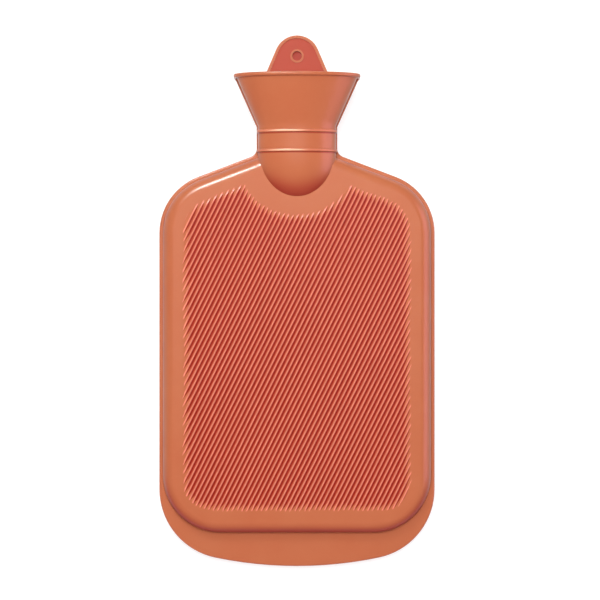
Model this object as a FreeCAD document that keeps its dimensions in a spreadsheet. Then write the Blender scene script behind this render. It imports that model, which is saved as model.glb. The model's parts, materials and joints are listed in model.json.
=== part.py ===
import FreeCAD, Part
import math
import os

import Sketcher

# Rubber hot water bottle, in millimetres.
# Every piece is drawn in the bottle's own frame: X across, Y from the bottom edge up to the hanging
# tab, Z out through the ribbed front, with Z = 0 on the parting plane of the mould.
# The whole bottle is then laid on its back, the way it comes to rest on a table.

Vector = FreeCAD.Vector
doc = FreeCAD.newDocument("hot_water_bottle")
sheet = doc.addObject("Spreadsheet::Sheet", "Dims")
rows = []


def put(alias, value, note=""):
    """Writes one named number on the next row of the sheet."""
    rows.append(alias)
    sheet.set(f"A{len(rows)}", note or alias)
    sheet.set(f"B{len(rows)}", repr(round(value, 9)))
    sheet.setAlias(f"B{len(rows)}", alias)


# Bag
half_width = 96.3
shoulder_angle = 20.8
shoulder_radius = 42.0
shoulder_height = 233.1
lower_radius = 49.0
bottom_radius = 280.0
flange_thickness = 3.0
flange_edge = 1.2
flange_width = 2.8
cushion_half_depth = 12.0
cushion_edge = 8.0
cushion_foot = 24.0
cushion_lower_radius = 40.0
wall = 2.1

# Ribbed field
rib_inset = 17.2
rib_foot = 15.8
rib_lower_radius = 20.0
rib_dip_radius = 42.6
rib_pitch = 3.0
rib_angle = 63.4
rib_height = 1.0
rib_land = 0.25
rib_runout = 3.5
rib_sink = 0.1
groove_floor = 0.05

# Neck and funnel, stacked on the shoulders
neck_half_width = 27.0
neck_half_depth = 20.5
oval_flat = 8.0
neck_flange = 28.2
neck_fillet = 6.0
neck_rise = 0.16
neck_length = 19.1
dome_length = 31.6
funnel_length = 36.1
rim_half_width = 42.9
rim_half_depth = 26.0
rim_lift = 2.0
funnel_seam = 0.9
ring_proud = 0.9
ring_width = 2.2
lower_ring_rise = 1.8
upper_ring_drop = 3.8
bead_radius = 1.2
bead_width = 2.8
full_round = 0.9

# Hanging tab, behind the rim
tab_half_width = 23.8
tab_radius = 16.0
tab_reach = 14.9
tab_root = 2.8
tab_step = 0.4
tab_thickness = 3.6
tab_recess = 0.7
tab_border = 2.0
eyelet_radius = 4.8
eyelet_bore = 3.4
eyelet_rise = 1.4
eyelet_depth = 2.0

# Closure inside the neck
plug_radius = 12.2
plug_fit = 0.1
plug_length = 15.0
plug_lead = 1.2
shank_radius = 10.6
washer_fit = 0.1
washer_radius = 15.4
washer_thickness = 2.0
head_radius = 16.0
head_thickness = 3.6
head_edge = 0.8
grip_height = 17.0
grip_half_width = 13.5
grip_thickness = 6.0
grip_corner = 6.75
grip_edge = 1.5
socket_rise = 1.6
socket_length = 19.0
socket_radius = 14.6
collar_radius = 16.6
collar_width = 2.4
bond_line = 0.05
throat_radius = 12.8
throat_length = 15.7

# Heights and directions that follow from the sizes above
slope = math.radians(shoulder_angle)
out_of_shoulder = Vector(math.sin(slope), math.cos(slope), 0)
down_shoulder = Vector(math.cos(slope), -math.sin(slope), 0)
shoulder_run = half_width - shoulder_radius + shoulder_radius * out_of_shoulder.x - neck_flange
shoulder_peak = shoulder_height + shoulder_radius * out_of_shoulder.y + shoulder_run * math.tan(slope)
dome_height = shoulder_peak + neck_rise
dome_rise = neck_half_depth - oval_flat
lower_ring = dome_height + lower_ring_rise
funnel_base = dome_height + neck_length
upper_ring = funnel_base - upper_ring_drop
rim_height = funnel_base + funnel_length
tab_height = rim_height + tab_reach
tab_back = rim_half_depth - rim_lift + tab_step
eyelet_height = tab_height + eyelet_rise
socket_height = dome_height + socket_rise
socket_top = socket_height + socket_length
head_height = socket_top + washer_thickness
grip_low = head_height + head_thickness

for alias, value, note in (
    ("bag_half_width", half_width, "half the width over the seam flange"),
    ("shoulder_angle", shoulder_angle, "slope of the shoulders, degrees"),
    ("shoulder_radius", shoulder_radius, "rounding of the upper corners"),
    ("shoulder_height", shoulder_height, "height of the upper corners' centres"),
    ("lower_radius", lower_radius, "rounding of the lower corners"),
    ("bottom_radius", bottom_radius, "radius of the bottom edge"),
    ("flange_thickness", flange_thickness, "seam flange, front to back"),
    ("flange_edge_radius", flange_edge, "rounding of the seam flange's edge"),
    ("flange_width", flange_width, "seam flange outside the cushion"),
    ("cushion_half_depth", cushion_half_depth, "half the thickness of the bag"),
    ("cushion_edge_radius", cushion_edge, "rounding of the cushion's edge"),
    ("cushion_foot_height", cushion_foot, "height of the cushion's lower edge"),
    ("cushion_lower_radius", cushion_lower_radius, "lower corners of the cushion"),
    ("wall", wall, "rubber wall of the bag and the funnel"),
    ("rib_inset", rib_inset, "ribbed field inside the bag's outline"),
    ("rib_foot", rib_foot, "ribbed field above the cushion's lower edge"),
    ("rib_lower_radius", rib_lower_radius, "lower corners of the ribbed field"),
    ("rib_dip_radius", rib_dip_radius, "dip of the ribbed field round the neck"),
    ("rib_pitch", rib_pitch, "spacing of the ribs"),
    ("rib_angle", rib_angle, "direction of the ribs, degrees from X"),
    ("rib_height", rib_height, "height of the ribs over the cushion"),
    ("rib_land", rib_land, "width of a rib's crest"),
    ("rib_runout", rib_runout, "length over which a rib's end runs out"),
    ("rib_sink", rib_sink, "run-out's foot below the cushion's face"),
    ("groove_floor", groove_floor, "grooves' floor over the cushion's face"),
    ("neck_half_width", neck_half_width, "half the width of the neck"),
    ("neck_half_depth", neck_half_depth, "half the depth of the neck"),
    ("oval_flat", oval_flat, "half the straight side of the neck's oval section"),
    ("neck_flange_half_width", neck_flange, "half the width over the neck's seam"),
    ("neck_fillet", neck_fillet, "rounding between the neck's seam and the shoulder"),
    ("dome_height", dome_height, "height where the neck meets its domed root"),
    ("dome_length", dome_length, "length of the domed root below that"),
    ("dome_rise", dome_rise, "rise of the domed root over the oval's straight side"),
    ("funnel_base_height", funnel_base, "height where the funnel starts"),
    ("rim_height", rim_height, "height of the funnel's rim"),
    ("rim_half_width", rim_half_width, "half the width of the rim"),
    ("rim_half_depth", rim_half_depth, "half the depth of the rim"),
    ("rim_lift", rim_lift, "rim's centre in front of the parting plane"),
    ("funnel_seam", funnel_seam, "seam outside the funnel's wall"),
    ("ring_proud", ring_proud, "height of the raised rings over the neck"),
    ("ring_width", ring_width, "width of a raised ring"),
    ("lower_ring_height", lower_ring, "height of the lower raised ring"),
    ("upper_ring_height", upper_ring, "height of the upper raised ring"),
    ("rim_bead_radius", bead_radius, "rounding of the bead round the rim"),
    ("rim_bead_width", bead_width, "width of the bead round the rim"),
    ("tab_half_width", tab_half_width, "half the width of the tab at the rim"),
    ("tab_radius", tab_radius, "rounding of the tab's end"),
    ("tab_centre_height", tab_height, "height of the tab's rounding centre"),
    ("tab_root_depth", tab_root, "tab below the rim, in the funnel's wall"),
    ("tab_back_depth", tab_back, "tab's back behind the parting plane"),
    ("tab_front_depth", tab_back - tab_thickness, "tab's front behind the parting plane"),
    ("tab_thickness", tab_thickness, "thickness of the tab's border"),
    ("tab_recess", tab_recess, "depth of the tab's face inside its border"),
    ("tab_border", tab_border, "width of the tab's border"),
    ("eyelet_floor_depth", tab_back - tab_thickness + tab_recess, "foot of the eyelet's raised ring"),
    ("eyelet_radius", eyelet_radius, "outside of the eyelet's raised ring"),
    ("eyelet_bore_radius", eyelet_bore, "inside of the eyelet's raised ring"),
    ("eyelet_height", eyelet_height, "height of the eyelet's centre"),
    ("eyelet_depth", eyelet_depth, "depth of the eyelet's dimple"),
    ("plug_radius", plug_radius, "stopper's threaded plug"),
    ("plug_running_fit", plug_fit, "radial clearance of the plug in its socket"),
    ("plug_length", plug_length, "plug below its shank"),
    ("plug_lead", plug_lead, "bevel at the plug's end"),
    ("shank_radius", shank_radius, "stopper's shank inside the washer"),
    ("washer_fit", washer_fit, "radial clearance of the washer on the shank"),
    ("washer_radius", washer_radius, "outside of the washer"),
    ("washer_thickness", washer_thickness, "thickness of the washer"),
    ("head_radius", head_radius, "stopper's round head"),
    ("head_thickness", head_thickness, "thickness of the stopper's head"),
    ("head_low_height", head_height, "height of the head's underside"),
    ("head_edge", head_edge, "bevel of the head's edge"),
    ("grip_low_height", grip_low, "height of the grip's foot on the head"),
    ("grip_height", grip_height, "height of the stopper's winged grip"),
    ("grip_half_width", grip_half_width, "half the width of the grip"),
    ("grip_thickness", grip_thickness, "thickness of the grip"),
    ("grip_corner_radius", grip_corner, "rounding of the grip's upper corners"),
    ("grip_edge_radius", grip_edge, "rounding of the grip's edges"),
    ("socket_height", socket_height, "height of the socket's lower end"),
    ("socket_length", socket_length, "length of the threaded socket"),
    ("socket_top_height", socket_top, "height of the socket's upper face"),
    ("socket_radius", socket_radius, "outside of the socket's barrel"),
    ("collar_radius", collar_radius, "outside of the socket's two collars"),
    ("collar_width", collar_width, "width of a collar"),
    ("bond_line", bond_line, "bond between the socket and the rubber"),
    ("throat_radius", throat_radius, "passage from the socket down into the bag"),
    ("throat_length", throat_length, "length of that passage below the socket"),
    ("rib_block_base", cushion_half_depth - wall / 2, "foot of the ribs, inside the cushion's wall"),
):
    put(alias, value, note)


def line(start, end):
    """One straight edge of an outline."""
    return {"start": start, "end": end, "centre": None}


def arc(start, end, centre, radius_name, direction=1):
    """One round edge of an outline; direction is 1 anticlockwise, -1 clockwise."""
    return {"start": start, "end": end, "centre": centre, "radius": radius_name, "way": direction}


def mirrored(edge):
    """The same edge on the other side of the middle line, run backwards."""
    flipped = dict(edge)
    flipped["start"] = Vector(-edge["end"].x, edge["end"].y, 0)
    flipped["end"] = Vector(-edge["start"].x, edge["start"].y, 0)
    if edge["centre"]:
        flipped["centre"] = Vector(-edge["centre"].x, edge["centre"].y, 0)
    return flipped


def symmetric(right_side, top=None):
    """Closes a right side, bottom to top, with its mirror image; top is an edge or a line."""
    left_side = [mirrored(edge) for edge in reversed(right_side)]
    bridge = top or line(right_side[-1]["end"], left_side[0]["start"])
    return right_side + [bridge] + left_side


def origin_plane(body, role):
    """The body's own origin plane of that role."""
    return next(item for item in body.Origin.OriginFeatures if item.Role == role)


def new_body(name):
    """An empty PartDesign body."""
    return doc.addObject("PartDesign::Body", name)


def new_sketch(body, name, role="XY_Plane", offset=None):
    """A sketch on one of the body's origin planes, moved along its normal by a named height."""
    sketch = body.newObject("Sketcher::SketchObject", name)
    sketch.AttachmentSupport = [(origin_plane(body, role), "")]
    sketch.MapMode = "FlatFace"
    if offset:
        sketch.setExpression("AttachmentOffset.Base.z", offset)
    return sketch


def pin_point(sketch, index, end, point, name):
    """Ties one end of an edge to the origin by two sizes that the sheet holds."""
    for axis, value in (("X", point.x), ("Y", point.y)):
        if abs(value) < 1e-7:
            sketch.addConstraint(Sketcher.Constraint(f"Distance{axis}", -1, 1, index, end, 0.0))
            continue
        alias = f"{name}_{axis.lower()}_{index + 1}"
        put(alias, abs(value))
        ends = (-1, 1, index, end) if value > 0 else (index, end, -1, 1)
        number = sketch.addConstraint(Sketcher.Constraint(f"Distance{axis}", *ends, abs(value)))
        sketch.setExpression(f"Constraints[{number}]", f"Dims.{alias}")


def draw(sketch, edges):
    """Draws a closed outline; its corners and radii stay bound to the sheet."""
    name = sketch.Name
    for edge in edges:
        start, end, centre = edge["start"], edge["end"], edge["centre"]
        if centre is None:
            sketch.addGeometry(Part.LineSegment(start, end))
            continue
        begin, stop = (start, end) if edge["way"] > 0 else (end, start)
        circle = Part.Circle(centre, Vector(0, 0, 1), (start - centre).Length)
        first = math.atan2(begin.y - centre.y, begin.x - centre.x)
        last = math.atan2(stop.y - centre.y, stop.x - centre.x)
        if last < first:
            last += 2 * math.pi
        sketch.addGeometry(Part.ArcOfCircle(circle, first, last))
    for index, edge in enumerate(edges):
        following = (index + 1) % len(edges)
        leaves = 2 if edge["centre"] is None or edge["way"] > 0 else 1
        enters = 1 if edges[following]["centre"] is None or edges[following]["way"] > 0 else 2
        sketch.addConstraint(Sketcher.Constraint("Coincident", index, leaves, following, enters))
        pin_point(sketch, index, leaves, edge["end"], name)
    for index, edge in enumerate(edges):
        if edge["centre"] is not None:
            value = (edge["start"] - edge["centre"]).Length
            number = sketch.addConstraint(Sketcher.Constraint("Radius", index, value))
            sketch.setExpression(f"Constraints[{number}]", edge["radius"])


def draw_circle(sketch, height, radius_name, radius):
    """A full circle on the middle line at a height that the sheet names."""
    value = float(sheet_value(height))
    sketch.addGeometry(Part.Circle(Vector(0, value, 0), Vector(0, 0, 1), radius))
    sketch.addConstraint(Sketcher.Constraint("DistanceX", -1, 1, 0, 3, 0.0))
    number = sketch.addConstraint(Sketcher.Constraint("DistanceY", -1, 1, 0, 3, value))
    sketch.setExpression(f"Constraints[{number}]", f"Dims.{height}")
    number = sketch.addConstraint(Sketcher.Constraint("Radius", 0, radius))
    sketch.setExpression(f"Constraints[{number}]", f"Dims.{radius_name}")


def sheet_value(alias):
    """The number in a named cell, before the sheet has been recomputed."""
    return sheet.getContents(f"B{rows.index(alias) + 1}")


def pad(body, sketch, length, midplane=False, reverse=False, cut=False):
    """Pads or pockets a sketch by a length given as an expression."""
    kind = "Pocket" if cut else "Pad"
    feature = body.newObject(f"PartDesign::{kind}", f"{kind}_{sketch.Name}")
    feature.Profile = sketch
    feature.setExpression("Length", length)
    feature.Midplane = midplane
    feature.Reversed = reverse
    doc.recompute()
    return feature


def edges_where(shape, wanted):
    """Names of the edges of a shape for which wanted(edge) holds."""
    return [f"Edge{number}" for number, edge in enumerate(shape.Edges, 1) if wanted(edge)]


def fillet(body, base, radius, wanted):
    """Rounds chosen edges of a feature by a named radius."""
    feature = body.newObject("PartDesign::Fillet", f"Fillet_{base.Name}")
    feature.Base = (base, edges_where(base.Shape, wanted))
    feature.setExpression("Radius", radius)
    doc.recompute()
    return feature


def lies_at(height):
    """Test for edges that lie wholly at that distance in front of or behind the parting plane."""
    return lambda edge: all(abs(abs(end.Point.z) - height) < 1e-4 for end in edge.Vertexes)


def shoulder_corner(inset):
    """Where the upper corner's arc, set in by inset, starts and ends, and its centre."""
    centre = Vector(half_width - shoulder_radius, shoulder_height, 0)
    radius = shoulder_radius - inset
    return centre + Vector(radius, 0, 0), centre + out_of_shoulder * radius, centre


def on_shoulder(inset, across):
    """The point of the shoulder line, set in by inset, that lies across from the middle."""
    top = shoulder_corner(inset)[1]
    run = (top.x - across) / down_shoulder.x
    return top - down_shoulder * run


def bag_outline():
    """The seam flange: bowed bottom, round corners, shoulders, neck and funnel."""
    bow_centre = Vector(0, bottom_radius, 0)
    offset = half_width - lower_radius
    drop = math.sqrt((bottom_radius - lower_radius) ** 2 - offset ** 2)
    low_centre = Vector(offset, bottom_radius - drop, 0)
    low = bow_centre + (low_centre - bow_centre).normalize() * bottom_radius
    side_low = low_centre + Vector(lower_radius, 0, 0)
    side_top, shoulder_top, high_centre = shoulder_corner(0.0)
    nook_x = neck_flange + neck_fillet
    nook = on_shoulder(0.0, nook_x) + Vector(0, neck_fillet / math.cos(slope), 0)
    neck_low = nook - Vector(neck_fillet, 0, 0)
    neck_top = Vector(neck_flange, funnel_base, 0)
    rim = Vector(rim_half_width + funnel_seam, rim_height - bead_radius, 0)
    right_side = [
        arc(low, side_low, low_centre, "Dims.lower_radius"),
        line(side_low, side_top),
        arc(side_top, shoulder_top, high_centre, "Dims.shoulder_radius"),
        line(shoulder_top, nook - out_of_shoulder * neck_fillet),
        arc(nook - out_of_shoulder * neck_fillet, neck_low, nook, "Dims.neck_fillet", -1),
        line(neck_low, neck_top),
        line(neck_top, rim),
    ]
    bow = arc(Vector(-low.x, low.y, 0), low, bow_centre, "Dims.bottom_radius")
    return [bow] + symmetric(right_side)


def cushion_outline(inset, foot, radius, radius_name, shoulder_name):
    """The raised cushion, or its hollow, closed by a straight top inside the neck."""
    side_top, shoulder_top, high_centre = shoulder_corner(inset)
    low_centre = Vector(half_width - inset - radius, foot + radius, 0)
    top = on_shoulder(inset, neck_half_width - inset)
    right_side = [
        arc(low_centre - Vector(0, radius, 0), low_centre + Vector(radius, 0, 0), low_centre, radius_name),
        line(low_centre + Vector(radius, 0, 0), side_top),
        arc(side_top, shoulder_top, high_centre, shoulder_name),
        line(shoulder_top, top),
    ]
    outline = symmetric(right_side)
    return outline + [line(outline[-1]["end"], outline[0]["start"])]


def rib_outline():
    """The ribbed field: the cushion's outline set in, with a round dip below the neck."""
    side_top, shoulder_top, high_centre = shoulder_corner(rib_inset)
    foot = cushion_foot + rib_foot
    low_centre = Vector(half_width - rib_inset - rib_lower_radius, foot + rib_lower_radius, 0)
    dip_centre = Vector(0, dome_height, 0)
    reach = shoulder_top - dip_centre
    along = reach.dot(down_shoulder)
    back = along - math.sqrt(along ** 2 - reach.dot(reach) + rib_dip_radius ** 2)
    peak = shoulder_top - down_shoulder * back
    right_side = [
        arc(low_centre - Vector(0, rib_lower_radius, 0), low_centre + Vector(rib_lower_radius, 0, 0),
            low_centre, "Dims.rib_lower_radius"),
        line(low_centre + Vector(rib_lower_radius, 0, 0), side_top),
        arc(side_top, shoulder_top, high_centre, "Dims.shoulder_radius - Dims.rib_inset"),
        line(shoulder_top, peak),
    ]
    dip = arc(peak, Vector(-peak.x, peak.y, 0), dip_centre, "Dims.rib_dip_radius", -1)
    outline = symmetric(right_side, dip)
    return outline + [line(outline[-1]["end"], outline[0]["start"])]


def make_bag():
    """Seam flange and raised cushion, front and back alike."""
    body = new_body("Bag")
    flange_sketch = new_sketch(body, "flange")
    draw(flange_sketch, bag_outline())
    flange = pad(body, flange_sketch, "Dims.flange_thickness", midplane=True)
    edge = lies_at(flange_thickness / 2)
    flange = fillet(body, flange, "Dims.flange_edge_radius",
                    lambda item: edge(item) and item.BoundBox.YMax < dome_height)
    cushion_sketch = new_sketch(body, "cushion")
    draw(cushion_sketch, cushion_outline(
        flange_width, cushion_foot, cushion_lower_radius, "Dims.cushion_lower_radius",
        "Dims.shoulder_radius - Dims.flange_width"))
    cushion = pad(body, cushion_sketch, "2 * Dims.cushion_half_depth", midplane=True)
    fillet(body, cushion, "Dims.cushion_edge_radius", lies_at(cushion_half_depth))
    return body


def make_hollow():
    """The water space inside the cushion."""
    body = new_body("Hollow")
    sketch = new_sketch(body, "hollow")
    inset = flange_width + wall
    draw(sketch, cushion_outline(
        inset, cushion_foot + wall, cushion_lower_radius - wall,
        "Dims.cushion_lower_radius - Dims.wall", "Dims.shoulder_radius - Dims.flange_width - Dims.wall"))
    block = pad(body, sketch, "2 * (Dims.cushion_half_depth - Dims.wall)", midplane=True)
    fillet(body, block, "Dims.cushion_edge_radius - Dims.wall", lies_at(cushion_half_depth - wall))
    return body


def make_rib_block():
    """The ribbed field's envelope, with edges that run out to the cushion's face."""
    body = new_body("RibBlock")
    sketch = new_sketch(body, "ribs", offset="Dims.rib_block_base")
    draw(sketch, rib_outline())
    block = pad(body, sketch, "Dims.wall / 2 + Dims.rib_height")
    runout = body.newObject("PartDesign::Chamfer", "RunOut")
    crest = lies_at(cushion_half_depth + rib_height)
    runout.Base = (block, edges_where(block.Shape, crest))
    runout.ChamferType = "Two distances"
    runout.setExpression("Size", "Dims.rib_height + Dims.rib_sink")
    runout.setExpression("Size2", "Dims.rib_runout")
    doc.recompute()
    return body


def make_ribs(block):
    """Ribs left standing between round-bottomed grooves that run across the block."""
    chord = rib_pitch - rib_land
    depth = rib_height - groove_floor
    radius = (chord ** 2 / 4 + depth ** 2) / (2 * depth)
    along = Vector(math.cos(math.radians(rib_angle)), math.sin(math.radians(rib_angle)), 0)
    across = Vector(along.y, -along.x, 0)
    box = block.Shape.BoundBox
    middle = Vector(box.Center.x, box.Center.y, cushion_half_depth + groove_floor + radius)
    reach = box.DiagonalLength / 2
    count = math.ceil(reach / rib_pitch)
    grooves = []
    for number in range(-count, count + 1):
        start = middle + across * (number * rib_pitch) - along * reach
        grooves.append(Part.makeCylinder(radius, 2 * reach, start, along))
    ribs = doc.addObject("Part::Feature", "Ribs")
    ribs.Shape = block.Shape.cut(Part.makeCompound(grooves))
    return ribs


def oval(height, oval_half_width, oval_half_depth, lift=0.0):
    """The neck's section: two straight sides closed by half ellipses, front and back."""
    rise = oval_half_depth - oval_flat
    front = Vector(0, height, lift + oval_flat)
    back = Vector(0, height, lift - oval_flat)
    side = Vector(oval_half_width, 0, 0)
    up = Vector(0, 0, rise)
    front_arc = Part.Arc(Part.Ellipse(front + side, front + up, front), 0, math.pi)
    back_arc = Part.Arc(Part.Ellipse(back - side, back - up, back), 0, math.pi)
    pieces = [
        front_arc.toShape(),
        Part.makeLine(front - side, back - side),
        back_arc.toShape(),
        Part.makeLine(back + side, front + side),
    ]
    return Part.Wire(pieces)


def oval_bar(low, high, oval_half_width, oval_half_depth, lift=0.0):
    """A straight bar of the neck's section."""
    face = Part.Face(oval(low, oval_half_width, oval_half_depth, lift))
    return face.extrude(Vector(0, high - low, 0))


def bead(low, width, oval_half_width, oval_half_depth, proud, lift=0.0):
    """A bar of the neck's section, larger by proud, whose ends are nearly fully rounded."""
    bar = oval_bar(low, low + width, oval_half_width + proud, oval_half_depth + proud, lift)
    ends = [edge for edge in bar.Edges if edge.BoundBox.YLength < 1e-6]
    return bar.makeFillet(full_round * min(proud, width / 2), ends)


def make_dome():
    """The neck's root on the bag: an ellipse swept upright, domed front and back."""
    centre = Vector(0, dome_height, 0)
    top_point = centre + Vector(0, dome_length, 0)
    side_point = centre + Vector(neck_half_width, 0, 0)
    ellipse = Part.Ellipse(top_point, side_point, centre).toShape()
    ellipse.translate(Vector(0, 0, -oval_flat))
    trunk = Part.Face(Part.Wire(ellipse)).extrude(Vector(0, 0, 2 * oval_flat))
    stretch = FreeCAD.Matrix()
    stretch.scale(neck_half_width, dome_length, dome_rise)
    cap = Part.makeSphere(1.0).transformGeometry(stretch)
    front = cap.translated(centre + Vector(0, 0, oval_flat))
    back = cap.translated(centre - Vector(0, 0, oval_flat))
    whole = trunk.fuse([front, back])
    keep = Part.makeBox(4 * neck_half_width, 2 * dome_length, 4 * neck_half_depth,
                        centre - Vector(2 * neck_half_width, 2 * dome_length, 2 * neck_half_depth))
    dome = doc.addObject("Part::Feature", "Dome")
    dome.Shape = whole.common(keep)
    return dome


def make_neck():
    """Neck, its two raised rings, the funnel and the bead round the rim."""
    neck = doc.addObject("Part::Feature", "Neck")
    neck.Shape = oval_bar(dome_height, funnel_base, neck_half_width, neck_half_depth)
    rings = [neck]
    for name, height in (("LowerRing", lower_ring), ("UpperRing", upper_ring)):
        ring = doc.addObject("Part::Feature", name)
        ring.Shape = bead(height - ring_width / 2, ring_width, neck_half_width, neck_half_depth, ring_proud)
        rings.append(ring)
    funnel = doc.addObject("Part::Feature", "Funnel")
    funnel.Shape = Part.makeLoft([
        oval(funnel_base, neck_half_width, neck_half_depth),
        oval(rim_height, rim_half_width, rim_half_depth, rim_lift),
    ], True, True)
    rim = doc.addObject("Part::Feature", "RimBead")
    rim.Shape = bead(rim_height - bead_width, bead_width, rim_half_width, rim_half_depth,
                     bead_radius, rim_lift)
    return rings + [funnel, rim]


def make_funnel_inside():
    """The space inside the funnel, from the socket's face out past the rim."""
    floor_width = neck_half_width - 2 * wall
    floor_depth = neck_half_depth - wall
    spread = (rim_half_width - wall - floor_width) / (rim_height - socket_top)
    deepen = (rim_half_depth - wall - floor_depth) / (rim_height - socket_top)
    past = rim_height + bead_width
    inside = doc.addObject("Part::Feature", "FunnelInside")
    inside.Shape = Part.makeLoft([
        oval(socket_top, floor_width, floor_depth),
        oval(past, rim_half_width - wall + spread * bead_width,
             rim_half_depth - wall + deepen * bead_width, rim_lift),
    ], True, True)
    return inside


def socket_profile(barrel, collar, bore, over=0.0):
    """Half section of the socket: a barrel with a collar at each end, from bore outwards."""
    low = socket_height - over
    high = socket_top
    first = socket_height + collar_width + over
    second = socket_top - collar_width - over
    return [
        Vector(bore, low, 0), Vector(collar, low, 0), Vector(collar, first, 0), Vector(barrel, first, 0),
        Vector(barrel, second, 0), Vector(collar, second, 0), Vector(collar, high, 0), Vector(bore, high, 0),
    ]


def polygon(points):
    """A closed outline of straight edges."""
    return [line(start, end) for start, end in zip(points, points[1:] + points[:1])]


def revolve(body, sketch):
    """Turns a half section once round the bottle's long axis."""
    feature = body.newObject("PartDesign::Revolution", f"Turned_{sketch.Name}")
    feature.Profile = sketch
    feature.ReferenceAxis = (sketch, ["V_Axis"])
    feature.Angle = 360
    doc.recompute()
    return feature


def make_socket_seat():
    """The room that the moulded rubber leaves for the socket, and the throat below it."""
    seat = doc.addObject("Part::Feature", "SocketSeat")
    points = socket_profile(socket_radius + bond_line, collar_radius + bond_line, 0.0, bond_line)
    face = Part.Face(Part.makePolygon(points + points[:1]))
    barrel = face.revolve(Vector(0, 0, 0), Vector(0, 1, 0), 360)
    foot = Vector(0, socket_height - throat_length, 0)
    throat = Part.makeCylinder(throat_radius, throat_length, foot, Vector(0, 1, 0))
    end = Part.makeSphere(throat_radius, foot)
    seat.Shape = barrel.fuse([throat, end])
    return seat


def tab_outline(inset):
    """The hanging tab, set in by inset: tapering sides closed by a round end."""
    centre = Vector(0, tab_height, 0)
    radius = tab_radius - inset
    low = Vector(tab_half_width, rim_height, 0)
    reach = low - centre
    spread = math.atan2(reach.y, reach.x) + math.acos(tab_radius / reach.Length)
    outwards = Vector(math.cos(spread), math.sin(spread), 0)
    touch = centre + outwards * radius
    side = Vector(outwards.y, -outwards.x, 0)
    root = rim_height - tab_root
    foot = touch + side * ((touch.y - root) / -side.y)
    middle = centre + Vector(0, radius, 0)
    radius_name = "Dims.tab_radius" if inset == 0.0 else "Dims.tab_radius - Dims.tab_border"
    right_side = [line(foot, touch), arc(touch, middle, centre, radius_name)]
    left_side = [mirrored(edge) for edge in reversed(right_side)]
    return right_side + left_side + [line(left_side[-1]["end"], foot)]


def make_tab():
    """Hanging tab behind the rim, with a raised border and a blind eyelet."""
    body = new_body("Tab")
    plate_sketch = new_sketch(body, "tab_plate", offset="-Dims.tab_back_depth")
    draw(plate_sketch, tab_outline(0.0))
    pad(body, plate_sketch, "Dims.tab_thickness")
    front_sketch = new_sketch(body, "tab_front", offset="-Dims.tab_front_depth")
    draw(front_sketch, tab_outline(tab_border))
    pad(body, front_sketch, "Dims.tab_recess", cut=True)
    back_sketch = new_sketch(body, "tab_back", offset="-Dims.tab_back_depth")
    draw(back_sketch, tab_outline(tab_border))
    pad(body, back_sketch, "Dims.tab_recess", cut=True, reverse=True)
    ring_sketch = new_sketch(body, "eyelet_ring", offset="-Dims.eyelet_floor_depth")
    draw_circle(ring_sketch, "eyelet_height", "eyelet_radius", eyelet_radius)
    pad(body, ring_sketch, "Dims.tab_recess")
    bore_sketch = new_sketch(body, "eyelet_bore", offset="-Dims.tab_front_depth")
    draw_circle(bore_sketch, "eyelet_height", "eyelet_bore_radius", eyelet_bore)
    pad(body, bore_sketch, "Dims.eyelet_depth", cut=True)
    return body


def make_rubber_bottle():
    """The whole moulding: everything that is solid rubber less everything that is hollow."""
    ribs = make_ribs(make_rib_block())
    solids = [make_bag(), ribs, make_dome()] + make_neck() + [make_tab()]
    hollows = [make_hollow(), make_funnel_inside(), make_socket_seat()]
    outside = doc.addObject("Part::MultiFuse", "Outside")
    outside.Shapes = solids
    inside = doc.addObject("Part::MultiFuse", "Inside")
    inside.Shapes = hollows
    moulding = doc.addObject("Part::Cut", "Moulding")
    moulding.Base = outside
    moulding.Tool = inside
    moulding.Label = "rubber_bottle"
    return moulding


def make_socket():
    """Female ferrule with a collar at each end, moulded into the neck."""
    body = new_body("Socket")
    sketch = new_sketch(body, "socket")
    draw(sketch, polygon(socket_profile(socket_radius, collar_radius, plug_radius + plug_fit)))
    revolve(body, sketch)
    body.Label = "threaded_socket"
    return body


def make_washer():
    """Flat washer under the stopper's head, resting on the socket's face."""
    body = new_body("Washer")
    sketch = new_sketch(body, "washer")
    inner = shank_radius + washer_fit
    draw(sketch, polygon([
        Vector(inner, socket_top, 0), Vector(washer_radius, socket_top, 0),
        Vector(washer_radius, head_height, 0), Vector(inner, head_height, 0),
    ]))
    revolve(body, sketch)
    body.Label = "sealing_washer"
    return body


def make_stopper():
    """Screw stopper: plug, shank for the washer, round head and winged grip."""
    body = new_body("Stopper")
    low = socket_top - plug_length
    neck_of_plug = socket_top - head_edge
    turned = new_sketch(body, "stopper_turned")
    draw(turned, polygon([
        Vector(0.0, low, 0), Vector(plug_radius - plug_lead, low, 0), Vector(plug_radius, low + plug_lead, 0),
        Vector(plug_radius, neck_of_plug, 0), Vector(shank_radius, neck_of_plug, 0),
        Vector(shank_radius, head_height, 0), Vector(head_radius, head_height, 0),
        Vector(head_radius, grip_low - head_edge, 0), Vector(head_radius - head_edge, grip_low, 0),
        Vector(0.0, grip_low, 0),
    ]))
    revolve(body, turned)
    wing = new_sketch(body, "grip")
    start = Vector(grip_half_width - head_edge, grip_low - head_edge, 0)
    centre = Vector(grip_half_width - grip_corner, grip_low + grip_height - grip_corner, 0)
    side = centre + Vector(grip_corner, 0, 0)
    top = centre + Vector(0, grip_corner, 0)
    outline = symmetric([line(start, side), arc(side, top, centre, "Dims.grip_corner_radius")])
    draw(wing, outline + [line(outline[-1]["end"], start)])
    grip = pad(body, wing, "Dims.grip_thickness", midplane=True)
    rim = lies_at(grip_thickness / 2)
    fillet(body, grip, "Dims.grip_edge_radius", lambda item: rim(item) and item.BoundBox.YMin > grip_low)
    body.Label = "stopper"
    return body


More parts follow.
